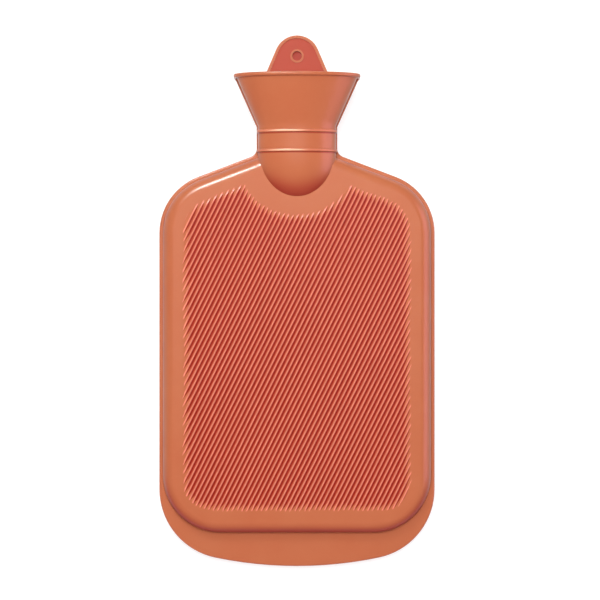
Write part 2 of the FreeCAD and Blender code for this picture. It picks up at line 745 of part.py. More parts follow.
def resting_pose():
    """Lays the bottle on its back: rim bead and the cushion's lower edge both on the table."""
    bead_y = rim_height - bead_width + bead_radius
    bead_z = rim_lift - rim_half_depth
    edge_y = cushion_foot + cushion_edge
    edge_z = cushion_edge - cushion_half_depth
    apart = math.hypot(bead_y - edge_y, bead_z - edge_z)
    tilt = math.asin((bead_radius - cushion_edge) / apart) - math.atan2(bead_z - edge_z, bead_y - edge_y)
    lowest = edge_y * math.sin(tilt) + edge_z * math.cos(tilt) - cushion_edge
    tab_top = (tab_height + tab_radius) * math.cos(tilt) + tab_back * math.sin(tilt)
    turn = FreeCAD.Rotation(Vector(1, 0, 0), math.degrees(tilt))
    return FreeCAD.Placement(Vector(0, -tab_top / 2, -lowest), turn)


parts = [make_socket(), make_washer(), make_stopper(), make_rubber_bottle()]
pose = resting_pose()
for part in parts:
    part.Placement = pose
doc.recompute()

broken = [item.Name for item in doc.Objects if "Invalid" in item.State or "Error" in item.State]
if broken:
    raise RuntimeError(f"objects that failed: {broken}")
for part in parts:
    if part.Shape.isNull() or not part.Shape.isValid() or len(part.Shape.Solids) != 1:
        raise RuntimeError(f"{part.Label} is not one valid solid")

os.makedirs("parts", exist_ok=True)
for part in parts:
    part.Shape.exportStep(f"parts/{part.Label}.step")
    bounds = part.Shape.BoundBox
    print(part.Label, "volume", round(part.Shape.Volume), "faces", len(part.Shape.Faces),
          "x", round(bounds.XMin, 2), round(bounds.XMax, 2), "y", round(bounds.YMin, 2),
          round(bounds.YMax, 2), "z", round(bounds.ZMin, 2), round(bounds.ZMax, 2))
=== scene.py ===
import json
import logging
import math
from dataclasses import dataclass
from enum import Enum

import bmesh
import bpy
import numpy as np
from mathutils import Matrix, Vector


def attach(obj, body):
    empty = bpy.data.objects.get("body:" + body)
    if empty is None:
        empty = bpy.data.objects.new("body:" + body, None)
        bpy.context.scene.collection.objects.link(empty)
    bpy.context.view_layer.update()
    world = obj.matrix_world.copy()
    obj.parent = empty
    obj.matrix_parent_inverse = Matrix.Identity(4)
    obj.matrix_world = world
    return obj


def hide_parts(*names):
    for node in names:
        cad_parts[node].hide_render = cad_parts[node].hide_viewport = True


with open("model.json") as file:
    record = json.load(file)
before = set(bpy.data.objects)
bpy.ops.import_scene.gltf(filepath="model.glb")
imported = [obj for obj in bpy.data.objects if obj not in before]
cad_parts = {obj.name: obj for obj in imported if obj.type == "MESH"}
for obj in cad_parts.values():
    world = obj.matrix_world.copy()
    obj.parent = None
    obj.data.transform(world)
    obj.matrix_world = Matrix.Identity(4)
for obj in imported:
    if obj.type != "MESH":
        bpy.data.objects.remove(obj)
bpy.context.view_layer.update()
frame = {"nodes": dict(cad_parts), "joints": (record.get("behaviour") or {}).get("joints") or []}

# Looks of a moulded rubber hot water bottle that lies on its back, ribs up.
# Sizes are in millimetres in the bottle's own frame: X across, Y from the bottom edge up to the
# hanging tab, Z out of the ribbed front, Z = 0 on the parting plane. Lie carries them to the table.

MM = 0.001
TURN = 2 * math.pi
# Points nearer to each other than this, in metres, are one.
MERGE = 1e-6
# Square metres added to each face's weight, so that no mean of normals is empty.
LEAST_AREA = 1e-12
# Points that bridge each corner of a rounded outline.
ARC_STEPS = 6
# Height of the middle of the neck's domed root, which the ribs' dip goes round.
DOME_Y = 288.1026

Colour = tuple[float, float, float]
Place = tuple[float, float, float]
Span = tuple[float, float]
Socket = bpy.types.NodeSocket
Value = Socket | float

log = logging.getLogger("hot_water_bottle")


class Body(Enum):
    """The moving bodies that pieces ride on."""

    BOTTLE = "bottle"
    WASHER = "washer"
    STOPPER = "stopper"


class Slot(Enum):
    """The record's material slots."""

    RUBBER = "bottle_rubber"
    BRASS = "socket_brass"
    WASHER = "washer_rubber"
    STOPPER = "stopper_plastic"


# Placing


@dataclass(frozen=True)
class Lie:
    """How the bottle lies: its own frame turned about X by a small tilt, then moved."""

    tilt: float
    shift: Place

    @classmethod
    def from_hinge(cls, joints: list[dict], anchor_height: float) -> "Lie":
        """Reads the tilt and the place from the stopper's hinge.

        Args:
            joints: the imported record's joints.
            anchor_height: height of the hinge's anchor in the bottle's own frame, in millimetres.

        Returns:
            The bottle's place on the table.
        """
        hinge = next(joint for joint in joints if joint["name"] == "stopper_turn")
        tilt = math.atan2(hinge["axis"][2], hinge["axis"][1])
        y = hinge["pos_m"][1] / MM - anchor_height * math.cos(tilt)
        z = hinge["pos_m"][2] / MM - anchor_height * math.sin(tilt)
        return cls(tilt, (0.0, y, z))

    def matrix(self) -> np.ndarray:
        """The turn alone, as a 3 by 3 matrix."""
        c, s = math.cos(self.tilt), math.sin(self.tilt)
        return np.array([[1.0, 0.0, 0.0], [0.0, c, -s], [0.0, s, c]])

    def to_table(self, points: np.ndarray) -> np.ndarray:
        """Bottle millimetres to table metres: turned, then shifted."""
        return (np.asarray(points, float) @ self.matrix().T + np.array(self.shift)) * MM

    def to_bottle(self, points: np.ndarray) -> np.ndarray:
        """Table metres back to bottle millimetres."""
        return (np.asarray(points, float) / MM - np.array(self.shift)) @ self.matrix()


@dataclass(frozen=True)
class Heights:
    """Heights along the neck that the closure's pieces share, in millimetres."""

    socket_low: float = 289.7026
    socket_top: float = 308.7026
    washer_top: float = 310.7026
    grip_low: float = 314.3026


# Mesh tools


def grid_faces(rows: int, columns: int, ring: bool) -> np.ndarray:
    """Quads of a grid of points whose rows are closed loops.

    Args:
        rows: how many loops there are.
        columns: points a loop.
        ring: joins the last loop to the first.

    Returns:
        An array of four point numbers a face.
    """
    i = np.arange(rows if ring else rows - 1)[:, None]
    j = np.arange(columns)[None, :]
    after_i, after_j = (i + 1) % rows, (j + 1) % columns
    corners = (i * columns + j, i * columns + after_j, after_i * columns + after_j, after_i * columns + j)
    return np.stack([np.broadcast_to(c, (i.size, j.size)) for c in corners], -1).reshape(-1, 4)


def round_angles(count: int) -> np.ndarray:
    """Even steps of one full turn, the first at 0."""
    return np.linspace(0.0, TURN, count, endpoint=False)


def turned(radius: np.ndarray, height: np.ndarray, segments: int) -> np.ndarray:
    """Loops about the long axis: x = radius cos(angle), y = height, z = -radius sin(angle).

    Since z runs against the angle, a thread that climbs with the angle is right-handed.

    Args:
        radius: one value a row, in a column, or one for each row and segment.
        height: the same, for the height.
        segments: steps round the axis.

    Returns:
        Bottle millimetres, rows by segments by three.
    """
    angle = round_angles(segments)[None, :]
    return np.stack([radius * np.cos(angle), height + 0 * angle, -radius * np.sin(angle)], -1)


def rounded(corners: list[tuple[float, float, float]]) -> np.ndarray:
    """An outline whose corners are rounded by arcs.

    Each corner is cut back along both its sides by the radius and bridged by a quadratic curve
    that is tangent to them: (1-t)^2 a + 2t(1-t) corner + t^2 b.

    Args:
        corners: radius from the axis, height, and rounding of each corner.

    Returns:
        Points in order, radius and height in two columns.
    """
    points = np.array([corner[:2] for corner in corners], float)
    cut = np.array([corner[2] for corner in corners], float)[:, None]
    before = np.roll(points, 1, 0) - points
    after = np.roll(points, -1, 0) - points
    before /= np.linalg.norm(before, axis=1, keepdims=True)
    after /= np.linalg.norm(after, axis=1, keepdims=True)
    t = np.linspace(0.0, 1.0, ARC_STEPS)[None, :, None]
    a, b = (points + before * cut)[:, None, :], (points + after * cut)[:, None, :]
    curve = (1 - t) ** 2 * a + 2 * t * (1 - t) * points[:, None, :] + t ** 2 * b
    return curve.reshape(-1, 2)


def polish(mesh: bpy.types.Mesh, from_grid: bool, sharp: float) -> None:
    """Merges a mesh's doubles and shades it smooth.

    Args:
        mesh: the mesh, which is changed.
        from_grid: faces that have no area go too, which closes poles, and the rest turn outwards.
        sharp: edges that bend by more degrees than this stay sharp.
    """
    work = bmesh.new()
    work.from_mesh(mesh)
    bmesh.ops.remove_doubles(work, verts=work.verts, dist=MERGE)
    if from_grid:
        bmesh.ops.dissolve_degenerate(work, edges=work.edges, dist=MERGE)
        bmesh.ops.recalc_face_normals(work, faces=work.faces)
    work.to_mesh(mesh)
    work.free()
    mesh.polygons.foreach_set("use_smooth", np.ones(len(mesh.polygons), bool))
    mesh.set_sharp_from_angle(angle=math.radians(sharp))
    mesh.update()


def steady_normals(mesh: bpy.types.Mesh, bend: float) -> None:
    """Gives each corner the mean normal of the faces round its point, weighted by their area.

    Only faces that bend by less than a limit from the corner's own face count, so flat faces stay
    flat beside a small rounding and creases stay crisp.

    Args:
        mesh: a mesh whose doubles are merged.
        bend: the limit, in degrees.
    """
    count = len(mesh.loops)
    point_of = np.empty(count, np.int64)
    sides = np.empty(len(mesh.polygons), np.int64)
    normals = np.empty(len(mesh.polygons) * 3)
    areas = np.empty(len(mesh.polygons))
    mesh.loops.foreach_get("vertex_index", point_of)
    mesh.polygons.foreach_get("loop_total", sides)
    mesh.polygons.foreach_get("normal", normals)
    mesh.polygons.foreach_get("area", areas)
    normals = normals.reshape(-1, 3)
    face_of = np.repeat(np.arange(len(sides)), sides)
    order = np.argsort(point_of, kind="stable")
    sorted_points = point_of[order]
    start = np.searchsorted(sorted_points, np.arange(len(mesh.vertices) + 1))
    valence = np.diff(start)[sorted_points]
    own = np.repeat(order, valence)
    step = np.arange(len(own)) - np.repeat(np.cumsum(valence) - valence, valence)
    other = order[np.repeat(start[sorted_points], valence) + step]
    own_face, other_face = face_of[own], face_of[other]
    near = np.einsum("ij,ij->i", normals[own_face], normals[other_face]) > math.cos(math.radians(bend))
    weight = np.where(near, areas[other_face] + LEAST_AREA, 0.0)[:, None] * normals[other_face]
    mean = np.stack([np.bincount(own, weight[:, axis], count) for axis in range(3)], -1)
    mean /= np.linalg.norm(mean, axis=1, keepdims=True)
    mesh.normals_split_custom_set(mean.tolist())


def show(mesh: bpy.types.Mesh, body: Body, node: str, finish: bpy.types.Material) -> None:
    """Puts a mesh in the scene as a piece that rides on a body and stands for a CAD node.

    Args:
        mesh: the piece, in table metres.
        body: what it rides on.
        node: the CAD node that it replaces.
        finish: its material.
    """
    piece = bpy.data.objects.new(mesh.name, mesh)
    bpy.context.scene.collection.objects.link(piece)
    mesh.materials.clear()
    mesh.materials.append(finish)
    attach(piece, body.value)
    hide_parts(node)
    log.info("%s: %d faces on %s", piece.name, len(mesh.polygons), body.value)


# Finishes


class Nodes:
    """Adds nodes to a tree and links them, with values set on their sockets."""

    def __init__(self, tree: bpy.types.NodeTree) -> None:
        """Keeps the tree that is being filled."""
        self.tree = tree

    @classmethod
    def group(cls, name: str, results: tuple[str, ...], numbers: dict[str, float]) -> tuple:
        """Starts a node group with a Vector and numbers in, and numbers out.

        Args:
            name: the group's name.
            results: names of its outputs.
            numbers: names and values of its inputs beside the Vector.

        Returns:
            Its nodes, the sockets that give the inputs and those that take the outputs.
        """
        tree = bpy.data.node_groups.new(name, "ShaderNodeTree")
        tree.interface.new_socket("Vector", in_out="INPUT", socket_type="NodeSocketVector")
        for number, value in numbers.items():
            socket = tree.interface.new_socket(number, in_out="INPUT", socket_type="NodeSocketFloat")
            socket.default_value = value
        for result in results:
            tree.interface.new_socket(result, in_out="OUTPUT", socket_type="NodeSocketFloat")
        nodes = cls(tree)
        return nodes, nodes.add("NodeGroupInput").outputs, nodes.add("NodeGroupOutput").inputs

    @classmethod
    def material(cls, name: str) -> tuple[bpy.types.Material, "Nodes", Socket]:
        """Starts a material with an empty tree.

        Args:
            name: the material's name.

        Returns:
            The material, its nodes and its Object coordinates.
        """
        material = bpy.data.materials.new(name)
        material.use_nodes = True
        material.node_tree.nodes.clear()
        nodes = cls(material.node_tree)
        return material, nodes, nodes.add("ShaderNodeTexCoord").outputs["Object"]

    def add(self, kind: str, **values: object) -> bpy.types.Node:
        """Adds a node.

        Args:
            kind: the node's type.
            values: those that name a property set it, the others the input socket of their name.

        Returns:
            The node.
        """
        node = self.tree.nodes.new(kind)
        for name, value in values.items():
            if hasattr(node, name):
                setattr(node, name, value)
            else:
                node.inputs[name.replace("_", " ")].default_value = value
        return node

    def link(self, source: Socket, target: Socket) -> None:
        """Joins an output to an input."""
        self.tree.links.new(source, target)

    def feed(self, value: object, target: Socket) -> None:
        """Joins a socket to an input, or sets the input to a plain value.

        Args:
            value: the socket, or the number, vector or colour with its alpha.
            target: the input.
        """
        if isinstance(value, Socket):
            self.link(value, target)
        else:
            target.default_value = value

    def math(self, operation: str, *values: Value) -> Socket:
        """Adds a math node.

        Args:
            operation: the node's operation.
            values: sockets or plain numbers.

        Returns:
            Its result.
        """
        node = self.add("ShaderNodeMath", operation=operation)
        for value, target in zip(values, node.inputs):
            self.feed(value, target)
        return node.outputs[0]

    def minus(self, first: Value, second: Value) -> Socket:
        """The first value less the second."""
        return self.math("SUBTRACT", first, second)

    def remnant(self, value: Value) -> Socket:
        """What a share leaves of one."""
        return self.math("SUBTRACT", 1.0, value)

    def times(self, first: Value, *others: Value) -> Socket:
        """The product of values, taken in order.

        Args:
            first: a socket or a plain number.
            others: what it is multiplied by, one after the other.

        Returns:
            The product.
        """
        product = first
        for other in others:
            product = self.math("MULTIPLY", product, other)
        return product

    def length(self, x: Value, y: Value) -> Socket:
        """The length of the flat vector (x, y)."""
        return self.math("SQRT", self.math("ADD", self.math("POWER", x, 2.0), self.math("POWER", y, 2.0)))

    def mix(self, share: Socket, first: object, second: object, kind: str = "RGBA") -> Socket:
        """Mixes two colours or two numbers.

        Args:
            share: the second one's share.
            first: a socket or a plain colour.
            second: a socket or a plain colour.
            kind: RGBA for colours, FLOAT for numbers.

        Returns:
            The mixed colour or number.
        """
        node = self.add("ShaderNodeMix", data_type=kind)
        for value, name in ((share, "Factor"), (first, "A"), (second, "B")):
            self.feed((*value, 1.0) if isinstance(value, tuple) else value, node.inputs[name])
        return node.outputs["Result"]

    def remap(self, value: Value, **ends: object) -> Socket:
        """Carries a value from one span to another.

        Args:
            value: a socket or a plain number.
            ends: From_Min, From_Max, To_Min and To_Max, which are 0 and 1 unless given.

        Returns:
            The value in the new span.
        """
        node = self.add("ShaderNodeMapRange", **ends)
        self.feed(value, node.inputs["Value"])
        return node.outputs["Result"]

    def ease(self, value: Value, low: float, high: float) -> Socket:
        """Smooth step from 0 at low to 1 at high."""
        return self.remap(value, interpolation_type="SMOOTHSTEP", From_Min=low, From_Max=high)

    def effect(self, tree: bpy.types.NodeTree, place: Socket, **values: float) -> object:
        """Adds a node group.

        Args:
            tree: the group.
            place: what its Vector is.
            values: its other inputs.

        Returns:
            Its outputs, by name.
        """
        node = self.add("ShaderNodeGroup", node_tree=tree, **values)
        self.link(place, node.inputs["Vector"])
        return node.outputs

    def dress(self, shader: bpy.types.Node, colour: Socket, rough: Socket, grain: Socket,
              strength: float, height: float) -> None:
        """Joins colour, roughness and grain to a shader, and the shader to the material's surface.

        Args:
            shader: the Principled shader.
            colour: its base colour.
            rough: its roughness.
            grain: the height of its fine relief, from 0 to 1.
            strength: how much the relief turns the normals.
            height: the relief's height, in metres.
        """
        bump = self.add("ShaderNodeBump", Strength=strength, Distance=height)
        self.link(grain, bump.inputs["Height"])
        self.link(colour, shader.inputs["Base Color"])
        self.link(rough, shader.inputs["Roughness"])
        self.link(bump.outputs["Normal"], shader.inputs["Normal"])
        self.link(shader.outputs["BSDF"], self.add("ShaderNodeOutputMaterial").inputs["Surface"])

    def in_bottle(self, vector: Socket, lie: Lie) -> tuple[Socket, ...]:
        """X, Y and Z in bottle millimetres of a place on the table, in metres.

        Args:
            vector: the place, on Object coordinates.
            lie: how the bottle lies.

        Returns:
            The three outputs.
        """
        place = self.add("ShaderNodeMapping", Scale=(1 / MM,) * 3, Rotation=(-lie.tilt, 0.0, 0.0))
        place.inputs["Location"].default_value = lie.to_bottle(np.zeros((1, 3)))[0]
        self.link(vector, place.inputs["Vector"])
        split = self.add("ShaderNodeSeparateXYZ")
        self.link(place.outputs["Vector"], split.inputs["Vector"])
        return tuple(split.outputs)


def moulded_skin_group() -> bpy.types.NodeTree:
    """Effect shared by all the finishes: cloudy tone, bloom specks and fine mould grain.

    Returns:
        A group with a Vector and three scales in, and Tone, Specks and Grain out, each from 0 to 1.
    """
    build, entry, leave = Nodes.group("moulded_skin", ("Tone", "Specks", "Grain"),
                                      {"Cloud Scale": 30.0, "Speck Scale": 900.0, "Grain Scale": 2500.0})
    for source, detail, low, high, result in (
        ("Cloud Scale", 5.0, 0.32, 0.68, "Tone"),
        ("Speck Scale", 2.0, 0.62, 0.78, "Specks"),
        ("Grain Scale", 3.0, 0.30, 0.70, "Grain"),
    ):
        noise = build.add("ShaderNodeTexNoise", Detail=detail, Roughness=0.55)
        build.link(entry["Vector"], noise.inputs["Vector"])
        build.link(entry[source], noise.inputs["Scale"])
        build.link(build.remap(noise.outputs["Fac"], From_Min=low, From_Max=high), leave[result])
    return build.tree


@dataclass(frozen=True)
class RibbedField:
    """Where the ribs are, for their painted highlight and painted shade: a rounded panel with a round dip
    at the top, in bottle millimetres.

    The crest's band, the flank and the reaches are shares of the pitch, the paling of a reach.
    """

    half_width: float = 79.1
    low: float = 39.8
    low_radius: float = 20.0
    high_x: float = 54.3
    high_y: float = 233.1
    high_radius: float = 24.8
    shoulder: float = 20.8
    dip_y: float = DOME_Y
    dip_radius: float = 42.6
    face: float = 12.05
    face_slack: float = 0.2
    edge: Span = (-0.2, 0.8)
    pitch: float = 3.0
    slant: float = 63.4
    crest_band: Span = (0.08, 0.25)
    flank: float = 0.10
    tip_reach: float = 0.12
    full_reach: float = 0.62
    paling: Span = (0.5, 1.5)
    taper: float = 6.0
    stagger: float = 1.5

    def middle(self) -> float:
        """Height of the field's middle, half way from its foot to its peaks, where a valley runs.

        A peak is where a shoulder's line meets the dip's arc. Seen from the dip's centre the line
        lies k away along its normal (s, c), so the peak is k c - s sqrt(radius^2 - k^2) above it.

        Returns:
            The height, in bottle millimetres.
        """
        s, c = math.sin(math.radians(self.shoulder)), math.cos(math.radians(self.shoulder))
        away = self.high_radius + self.high_x * s + (self.high_y - self.dip_y) * c
        peak = self.dip_y + away * c - s * math.sqrt(self.dip_radius ** 2 - away ** 2)
        return (self.low + peak) / 2

    def group(self, lie: Lie) -> bpy.types.NodeTree:
        """Effect that tells the ribs' crests, for a painted highlight, and the valleys between them, for
        painted shade.

        The distance inside the panel's outline is the least of the distances to its sides, its
        corners' arcs, its shoulders and its dip, moved a little for each rib. The crest is a band
        about the rib's line, half a pitch from the valleys' lines, and gets a painted highlight. The
        valley gets painted shade, darkest beside the rib's far flank, which faces away from the light,
        and paling towards the next rib; at the outline it narrows to a point, as the ribs' ends do.

        Args:
            lie: how the bottle lies.

        Returns:
            A group with a Vector in, and Crest, Valley and Field out, each from 0 to 1.
        """
        build, entry, leave = Nodes.group("ribbed_field", ("Crest", "Valley", "Field"), {})
        signed_x, y, z = build.in_bottle(entry["Vector"], lie)
        x = build.math("ABSOLUTE", signed_x)
        slant = math.radians(self.slant)
        across = build.minus(build.times(signed_x, math.sin(slant)),
                             build.times(build.minus(y, self.middle()), math.cos(slant)))
        turns = build.math("ADD", build.math("DIVIDE", across, self.pitch), 0.5)
        past_crest = build.math("FRACT", turns)
        off_crest = build.minus(0.5, build.math("ABSOLUTE", build.minus(past_crest, 0.5)))
        band = build.remnant(build.ease(off_crest, *self.crest_band))
        inside = self.inside(build, x, y)
        lot = build.add("ShaderNodeTexWhiteNoise", noise_dimensions="1D")
        build.link(build.math("FLOOR", turns), lot.inputs["W"])
        stagger = build.times(build.minus(lot.outputs["Value"], 0.5), self.stagger)
        inside = build.math("ADD", inside, stagger)
        on_front = build.math("GREATER_THAN", z, self.face - self.face_slack)
        field = build.times(build.ease(inside, *self.edge), on_front)
        growth = build.times(build.ease(inside, 0.0, self.taper), self.full_reach - self.tip_reach)
        reach = build.math("ADD", self.tip_reach, growth)
        run = build.math("DIVIDE", build.minus(past_crest, self.flank), reach)
        valley = build.times(build.ease(past_crest, self.flank, 2 * self.flank),
                             build.remnant(build.ease(run, *self.paling)))
        # Crest carries the painted highlight and Valley the painted shade.
        build.link(build.times(band, field), leave["Crest"])
        build.link(build.times(valley, field), leave["Valley"])
        build.link(field, leave["Field"])
        return build.tree

    def inside(self, build: Nodes, x: Value, y: Value) -> Socket:
        """The least of the distances inside the panel's upper part, its lower part and its dip.

        The upper part is the side, the upper corner's arc or the shoulder, whichever is beside the
        point; the lower part is the foot or the lower corner's arc.

        Args:
            build: the group's nodes.
            x: the point's distance from the middle line.
            y: its height.

        Returns:
            The distance, below 0 outside.
        """
        c, s = math.cos(math.radians(self.shoulder)), math.sin(math.radians(self.shoulder))
        dx, dy = build.minus(x, self.high_x), build.minus(y, self.high_y)
        side = build.minus(self.half_width, x)
        arc = build.minus(self.high_radius, build.length(dx, dy))
        along = build.math("ADD", build.times(dx, s), build.times(dy, c))
        shoulder = build.minus(self.high_radius, along)
        beside = build.minus(build.times(dx, c), build.times(dy, s))
        upper = build.mix(build.math("GREATER_THAN", beside, 0.0), shoulder, arc, "FLOAT")
        upper = build.mix(build.math("GREATER_THAN", dy, 0.0), side, upper, "FLOAT")
        dx = build.minus(x, self.half_width - self.low_radius)
        dy = build.minus(self.low + self.low_radius, y)
        arc = build.minus(self.low_radius, build.length(dx, dy))
        in_corner = build.times(build.math("GREATER_THAN", dx, 0.0), build.math("GREATER_THAN", dy, 0.0))
        lower = build.mix(in_corner, build.minus(y, self.low), arc, "FLOAT")
        dip = build.minus(build.length(x, build.minus(y, self.dip_y)), self.dip_radius)
        return build.math("MINIMUM", build.math("MINIMUM", upper, lower), dip)


@dataclass(frozen=True)
class TabPanel:
    """Where the hanging tab's recessed faces and its eyelet's dimple are, in bottle millimetres, for
    painted shade.
    """

    low: float = 345.0
    front: float = -20.8
    recess_shade: Span = (0.2, 0.6)
    eyelet_y: float = 359.6026
    bore: float = 3.4
    bore_slack: float = 0.1
    dimple: Span = (0.4, 1.6)

    def group(self, lie: Lie) -> bpy.types.NodeTree:
        """Effect that tells the tab's recessed face and the eyelet's dimple by their depth, for painted
        shade.

        Args:
            lie: how the bottle lies.

        Returns:
            A group with a Vector in, and RecessShade and Dimple out, each from 0 to 1.
        """
        build, entry, leave = Nodes.group("tab_panel", ("RecessShade", "Dimple"), {})
        x, y, z = build.in_bottle(entry["Vector"], lie)
        # The tab's deeper places get painted shade: its recessed face and the eyelet's dimple.
        depth = build.minus(self.front, z)
        on_tab = build.math("GREATER_THAN", y, self.low)
        build.link(build.times(build.ease(depth, *self.recess_shade), on_tab), leave["RecessShade"])
        off_eyelet = build.length(x, build.minus(y, self.eyelet_y))
        in_bore = build.math("LESS_THAN", off_eyelet, self.bore + self.bore_slack)
        build.link(build.times(build.ease(depth, *self.dimple), in_bore), leave["Dimple"])
        return build.tree


@dataclass(frozen=True)
class NeckRings:
    """Where the neck's two raised rings are, in bottle millimetres."""

    heights: Span = (289.9026, 303.4026)
    half_neck: float = 27.6
    crown: Span = (0.2, 0.9)
    line_low: Span = (-2.3, -1.6)
    line_high: Span = (-1.2, -0.8)
    # Middle and reach of the stretch where the rings' painted highlight is brightest.
    highlight_x: float = -7.0
    highlight_reach: Span = (5.0, 17.0)

    def group(self, lie: Lie) -> bpy.types.NodeTree:
        """Effect that tells the rings' tops, for a painted highlight, the stretch where that highlight
        is brightest, and the lines below them, for painted shade.

        Args:
            lie: how the bottle lies.

        Returns:
            A group with a Vector in, and Top, Highlight and Under out, each from 0 to 1.
        """
        build, entry, leave = Nodes.group("neck_rings", ("Top", "Highlight", "Under"), {})
        x, y, z = build.in_bottle(entry["Vector"], lie)
        on_neck = build.math("LESS_THAN", build.math("ABSOLUTE", x), self.half_neck)
        # Round a point on the front the rings' tops get a brighter painted highlight.
        from_highlight = build.math("ABSOLUTE", build.minus(x, self.highlight_x))
        ring_highlight = build.remnant(build.ease(from_highlight, *self.highlight_reach))
        ring_highlight = build.times(ring_highlight, build.math("GREATER_THAN", z, 0.0))
        top, under = 0.0, 0.0
        for height in self.heights:
            off = build.minus(y, height)
            near = build.remnant(build.ease(build.math("ABSOLUTE", off), *self.crown))
            # A band just below each ring gets painted shade.
            below = build.times(build.ease(off, *self.line_low),
                                build.remnant(build.ease(off, *self.line_high)))
            top, under = build.math("ADD", near, top), build.math("ADD", below, under)
        top = build.times(top, on_neck)
        build.link(top, leave["Top"])
        build.link(build.times(top, ring_highlight), leave["Highlight"])
        build.link(build.times(under, on_neck), leave["Under"])
        return build.tree


@dataclass(frozen=True)
class ShadeZones:
    """Where painted shade darkens the front's rubber: the dome's foot, the lower wall and the crease.

    The dome's foot is told in shares of an ellipse's half axes, the rest in bottle millimetres.
    """

    dome_y: float = DOME_Y
    dome_half_width: float = 27.0
    dome_length: float = 31.6
    dome_fade: Span = (0.4, 0.98)
    foot_fade: Span = (0.25, 0.8)
    dome_end: float = 1.05
    face: float = 12.2
    flange_fade: Span = (1.6, 1.9)
    wall_fade: Span = (9.0, 12.05)
    bottom_fade: Span = (40.0, 75.0)
    crease_fade: Span = (5.5, 9.5)
    crease_end: float = 284.0
    crease_share: float = 0.65

    def group(self, lie: Lie) -> bpy.types.NodeTree:
        """Effect that tells the painted shade by ellipse and height.

        The dome's foot is near an ellipse about the dome's middle. The lower wall is the cushion's
        wall up to its face, near the bottom edge alone. The crease is the foot of the wall all
        round, by a share.

        Args:
            lie: how the bottle lies.

        Returns:
            A group with a Vector in, and ShadeMask out, from 0 to 1.
        """
        build, entry, leave = Nodes.group("painted_front_shade", ("ShadeMask",), {})
        x, y, z = build.in_bottle(entry["Vector"], lie)
        down = build.math("DIVIDE", build.minus(self.dome_y, y), self.dome_length)
        out = build.length(build.math("DIVIDE", x, self.dome_half_width), down)
        dome = build.times(build.ease(out, *self.dome_fade), build.ease(down, *self.foot_fade),
                           build.math("LESS_THAN", out, self.dome_end),
                           build.math("GREATER_THAN", z, self.face))
        above_flange = build.ease(z, *self.flange_fade)
        wall = build.times(build.remnant(build.ease(z, *self.wall_fade)), above_flange,
                           build.remnant(build.ease(y, *self.bottom_fade)))
        crease = build.times(build.remnant(build.ease(z, *self.crease_fade)), above_flange,
                             build.math("LESS_THAN", y, self.crease_end), self.crease_share)
        build.link(build.math("MAXIMUM", build.math("MAXIMUM", dome, wall), crease), leave["ShadeMask"])
        return build.tree


